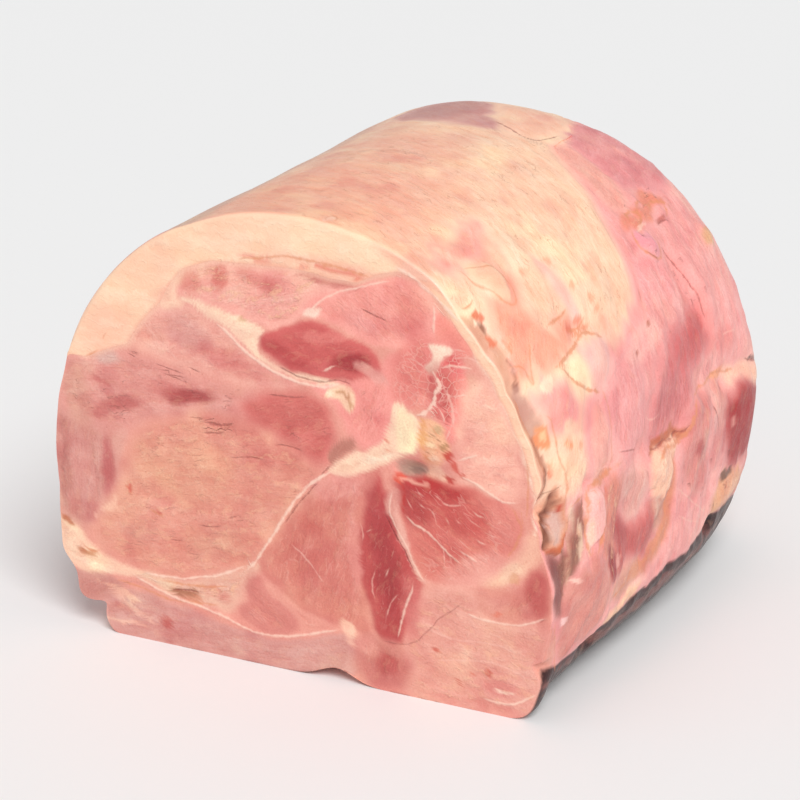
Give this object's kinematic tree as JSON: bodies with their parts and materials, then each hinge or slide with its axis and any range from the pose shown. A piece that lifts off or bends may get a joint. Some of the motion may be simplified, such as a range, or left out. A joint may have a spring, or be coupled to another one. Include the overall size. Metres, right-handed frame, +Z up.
{
  "type": "shoulder ham",
  "caption": "Boneless pressed shoulder ham with a sawn cut at one end that shows its muscles, gristle and fat cap, standing on its flat foot.",
  "frame": {"origin": "middle of the ham's outline on the surface it stands on", "axes": "+Z up, -Y out of the cut face, +Y towards the rounded rear end, +X to the right seen from the cut"},
  "size_m": [0.1822, 0.1878, 0.1539],
  "materials": {
    "lean": "moist satin, cooked cured pork with marbling, seams and gristle",
    "fat": "greasy satin, cream fat under a thin peach skin"
  },
  "bodies": {
    "root": {"lean": "lean", "fat_cap": "fat"}
  },
  "joints": []
}
